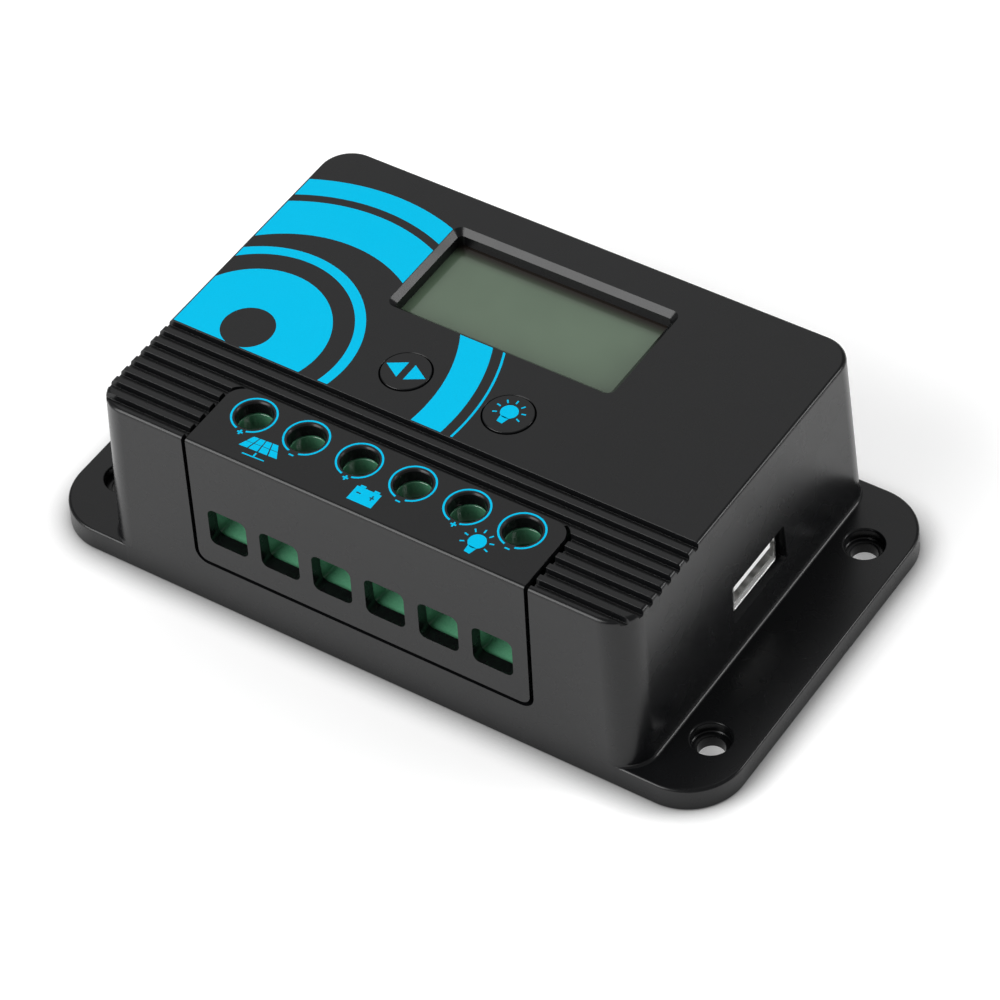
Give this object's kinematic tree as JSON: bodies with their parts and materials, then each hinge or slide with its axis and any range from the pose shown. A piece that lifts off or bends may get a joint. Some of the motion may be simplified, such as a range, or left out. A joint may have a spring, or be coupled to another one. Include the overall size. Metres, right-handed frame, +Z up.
{
  "type": "solar charge controller",
  "caption": "Wall-mounted solar charge controller with a ribbed case, display, push buttons, USB-A socket and screw clamp terminals behind a cover.",
  "frame": {"origin": "middle of the underside of the case, on the mounting plane", "axes": "+X to the right along the terminal front, +Y to the back, +Z up out of the mounting plane through the display"},
  "size_m": [0.1296, 0.073, 0.0362],
  "materials": {
    "case_plastic": "black, fine satin moulding texture",
    "cover_plastic": "black, fine satin moulding texture",
    "terminal_green": "dark green moulded polyamide",
    "zinc_steel": "zinc plated steel",
    "plated_cage": "nickel plated steel",
    "tinned_copper": "tin plated copper bar",
    "lcd_glass": "glass over a grey-green polariser",
    "white_plastic": "white moulded plastic",
    "elastomer": "silicone connector strip",
    "board_laminate": "circuit board with green mask",
    "package_epoxy": "moulded black epoxy",
    "ferrite": "dark grey ferrite",
    "aluminium": "bare aluminium",
    "capacitor_sleeve": "dark blue shrink sleeve",
    "plunger_red": "red moulded plastic"
  },
  "bodies": {
    "controller": {"case_shell": "case_plastic", "base_cover": "case_plastic", "terminal_cover": "cover_plastic", "terminal_block_solar": "terminal_green", "terminal_block_battery": "terminal_green", "terminal_block_load": "terminal_green", "contact_1": "tinned_copper", "contact_2": "tinned_copper", "contact_3": "tinned_copper", "contact_4": "tinned_copper", "contact_5": "tinned_copper", "contact_6": "tinned_copper", "display_board": "board_laminate", "lcd_glass": "lcd_glass", "lcd_holder": "package_epoxy", "lcd_backlight": "white_plastic", "lcd_zebra_strip": "elastomer", "switch_body_left": "zinc_steel", "switch_body_right": "zinc_steel", "main_board": "board_laminate", "usb_shell": "zinc_steel", "usb_insulator": "white_plastic", "heat_spreader": "aluminium", "mosfet_1": "package_epoxy", "mosfet_2": "package_epoxy", "mosfet_3": "package_epoxy", "mosfet_4": "package_epoxy", "capacitor_1": "capacitor_sleeve", "capacitor_2": "capacitor_sleeve", "inductor": "ferrite", "microcontroller": "package_epoxy", "current_shunt": "aluminium", "board_link": "package_epoxy", "case_screw_1": "zinc_steel", "case_screw_2": "zinc_steel", "case_screw_3": "zinc_steel", "case_screw_4": "zinc_steel", "board_screw_1": "zinc_steel", "board_screw_2": "zinc_steel", "board_screw_3": "zinc_steel", "board_screw_4": "zinc_steel", "display_screw_1": "zinc_steel", "display_screw_2": "zinc_steel"},
    "button_left": {"button_cap_left": "case_plastic", "switch_plunger_left": "plunger_red"},
    "button_right": {"button_cap_right": "case_plastic", "switch_plunger_right": "plunger_red"},
    "screw_1": {"terminal_screw_1": "zinc_steel"},
    "screw_2": {"terminal_screw_2": "zinc_steel"},
    "screw_3": {"terminal_screw_3": "zinc_steel"},
    "screw_4": {"terminal_screw_4": "zinc_steel"},
    "screw_5": {"terminal_screw_5": "zinc_steel"},
    "screw_6": {"terminal_screw_6": "zinc_steel"},
    "cage_1": {"clamp_cage_1": "plated_cage"},
    "cage_2": {"clamp_cage_2": "plated_cage"},
    "cage_3": {"clamp_cage_3": "plated_cage"},
    "cage_4": {"clamp_cage_4": "plated_cage"},
    "cage_5": {"clamp_cage_5": "plated_cage"},
    "cage_6": {"clamp_cage_6": "plated_cage"}
  },
  "joints": [
    {"name": "press_left", "type": "slide", "parent": "controller", "child": "button_left", "axis": [0, 0, -1], "range_m": [0, 0.0003], "stiffness_N_per_m": 1000},
    {"name": "press_right", "type": "slide", "parent": "controller", "child": "button_right", "axis": [0, 0, -1], "range_m": [0, 0.0003], "stiffness_N_per_m": 1000},
    {"name": "turn_1", "type": "hinge", "parent": "controller", "child": "screw_1", "pos_m": [-0.0254, -0.02505, 0.0279], "axis": [0, 0, -1], "range_deg": [0, 1728]},
    {"name": "turn_2", "type": "hinge", "parent": "controller", "child": "screw_2", "pos_m": [-0.01524, -0.02505, 0.0279], "axis": [0, 0, -1], "range_deg": [0, 1728]},
    {"name": "turn_3", "type": "hinge", "parent": "controller", "child": "screw_3", "pos_m": [-0.00508, -0.02505, 0.0279], "axis": [0, 0, -1], "range_deg": [0, 1728]},
    {"name": "turn_4", "type": "hinge", "parent": "controller", "child": "screw_4", "pos_m": [0.00508, -0.02505, 0.0279], "axis": [0, 0, -1], "range_deg": [0, 1728]},
    {"name": "turn_5", "type": "hinge", "parent": "controller", "child": "screw_5", "pos_m": [0.01524, -0.02505, 0.0279], "axis": [0, 0, -1], "range_deg": [0, 1728]},
    {"name": "turn_6", "type": "hinge", "parent": "controller", "child": "screw_6", "pos_m": [0.0254, -0.02505, 0.0279], "axis": [0, 0, -1], "range_deg": [0, 1728]},
    {"name": "lift_1", "type": "slide", "parent": "controller", "child": "cage_1", "axis": [0, 0, 1], "range_m": [0, 0.0024]},
    {"name": "lift_2", "type": "slide", "parent": "controller", "child": "cage_2", "axis": [0, 0, 1], "range_m": [0, 0.0024]},
    {"name": "lift_3", "type": "slide", "parent": "controller", "child": "cage_3", "axis": [0, 0, 1], "range_m": [0, 0.0024]},
    {"name": "lift_4", "type": "slide", "parent": "controller", "child": "cage_4", "axis": [0, 0, 1], "range_m": [0, 0.0024]},
    {"name": "lift_5", "type": "slide", "parent": "controller", "child": "cage_5", "axis": [0, 0, 1], "range_m": [0, 0.0024]},
    {"name": "lift_6", "type": "slide", "parent": "controller", "child": "cage_6", "axis": [0, 0, 1], "range_m": [0, 0.0024]}
  ],
  "couplings": [
    {"joint": "turn_1", "follows": "lift_1", "rad_per_m": 12566},
    {"joint": "turn_2", "follows": "lift_2", "rad_per_m": 12566},
    {"joint": "turn_3", "follows": "lift_3", "rad_per_m": 12566},
    {"joint": "turn_4", "follows": "lift_4", "rad_per_m": 12566},
    {"joint": "turn_5", "follows": "lift_5", "rad_per_m": 12566},
    {"joint": "turn_6", "follows": "lift_6", "rad_per_m": 12566}
  ]
}
